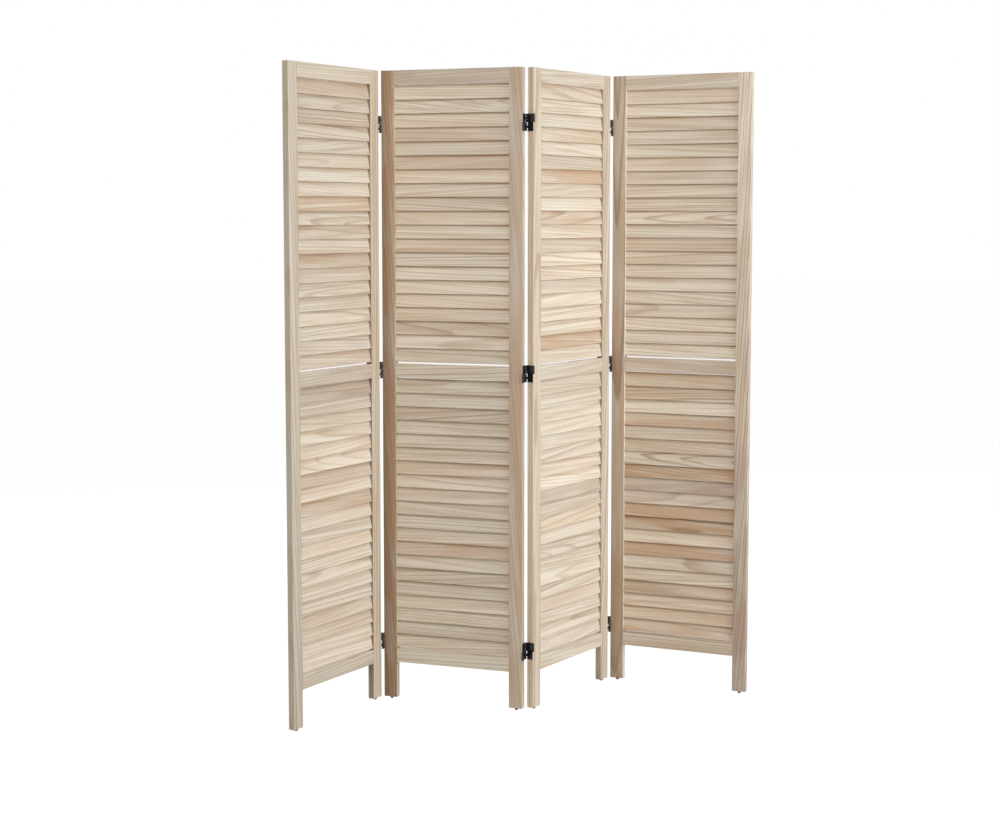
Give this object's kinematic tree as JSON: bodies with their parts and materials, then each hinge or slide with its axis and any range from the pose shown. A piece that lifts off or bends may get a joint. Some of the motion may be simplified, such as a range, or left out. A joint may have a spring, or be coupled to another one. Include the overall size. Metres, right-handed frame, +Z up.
{
  "type": "folding screen",
  "caption": "Free-standing louvred folding screen: hinged pale wood panels of stiles, rails and fixed slanted slats, joined by black double-action hinges.",
  "frame": {"origin": "on the floor, under the middle of the standing screen's bounding box", "axes": "+Z up, +X to the right and -Y to the front, as the screen stands in the picture"},
  "size_m": [1.224, 0.5792, 1.7],
  "materials": {
    "frame_wood": "bare, sanded",
    "slat_wood": "bare, sanded",
    "hinge_black": "gloss",
    "pin_steel": "blackened",
    "glide_plastic": "matte"
  },
  "bodies": {
    "panel_1": {"panel_1_left_stile": "frame_wood", "panel_1_right_stile": "frame_wood", "panel_1_top_rail": "frame_wood", "panel_1_middle_rail": "frame_wood", "panel_1_bottom_rail": "frame_wood", "panel_1_upper_slats": "slat_wood", "panel_1_lower_slats": "slat_wood", "panel_1_foot_glides": "glide_plastic", "panel_1_hinge_screws": "hinge_black", "fold_1_left_leaves": "hinge_black", "fold_1_upper_links": "hinge_black", "fold_1_upper_link_pins": "pin_steel"},
    "panel_2": {"panel_2_left_stile": "frame_wood", "panel_2_right_stile": "frame_wood", "panel_2_top_rail": "frame_wood", "panel_2_middle_rail": "frame_wood", "panel_2_bottom_rail": "frame_wood", "panel_2_upper_slats": "slat_wood", "panel_2_lower_slats": "slat_wood", "panel_2_foot_glides": "glide_plastic", "panel_2_hinge_screws": "hinge_black", "fold_1_right_leaves": "hinge_black", "fold_1_lower_links": "hinge_black", "fold_1_lower_link_pins": "pin_steel", "fold_2_left_leaves": "hinge_black", "fold_2_lower_links": "hinge_black", "fold_2_lower_link_pins": "pin_steel"},
    "panel_3": {"panel_3_left_stile": "frame_wood", "panel_3_right_stile": "frame_wood", "panel_3_top_rail": "frame_wood", "panel_3_middle_rail": "frame_wood", "panel_3_bottom_rail": "frame_wood", "panel_3_upper_slats": "slat_wood", "panel_3_lower_slats": "slat_wood", "panel_3_foot_glides": "glide_plastic", "panel_3_hinge_screws": "hinge_black", "fold_2_right_leaves": "hinge_black", "fold_2_upper_links": "hinge_black", "fold_2_upper_link_pins": "pin_steel", "fold_3_left_leaves": "hinge_black", "fold_3_upper_links": "hinge_black", "fold_3_upper_link_pins": "pin_steel"},
    "panel_4": {"panel_4_left_stile": "frame_wood", "panel_4_right_stile": "frame_wood", "panel_4_top_rail": "frame_wood", "panel_4_middle_rail": "frame_wood", "panel_4_bottom_rail": "frame_wood", "panel_4_upper_slats": "slat_wood", "panel_4_lower_slats": "slat_wood", "panel_4_foot_glides": "glide_plastic", "panel_4_hinge_screws": "hinge_black", "fold_3_right_leaves": "hinge_black", "fold_3_lower_links": "hinge_black", "fold_3_lower_link_pins": "pin_steel"}
  },
  "joints": [
    {"name": "fold_1", "type": "hinge", "parent": "panel_2", "child": "panel_1", "pos_m": [-0.39137, 0.0568, 0], "axis": [0, 0, 1], "range_deg": [-80, 100]},
    {"name": "fold_2", "type": "hinge", "parent": "panel_2", "child": "panel_3", "pos_m": [-0.00299, -0.06052, 0], "axis": [0, 0, 1], "range_deg": [-77, 102]},
    {"name": "fold_3", "type": "hinge", "parent": "panel_3", "child": "panel_4", "pos_m": [0.23885, 0.26523, 0], "axis": [0, 0, -1], "range_deg": [-82, 98]}
  ]
}
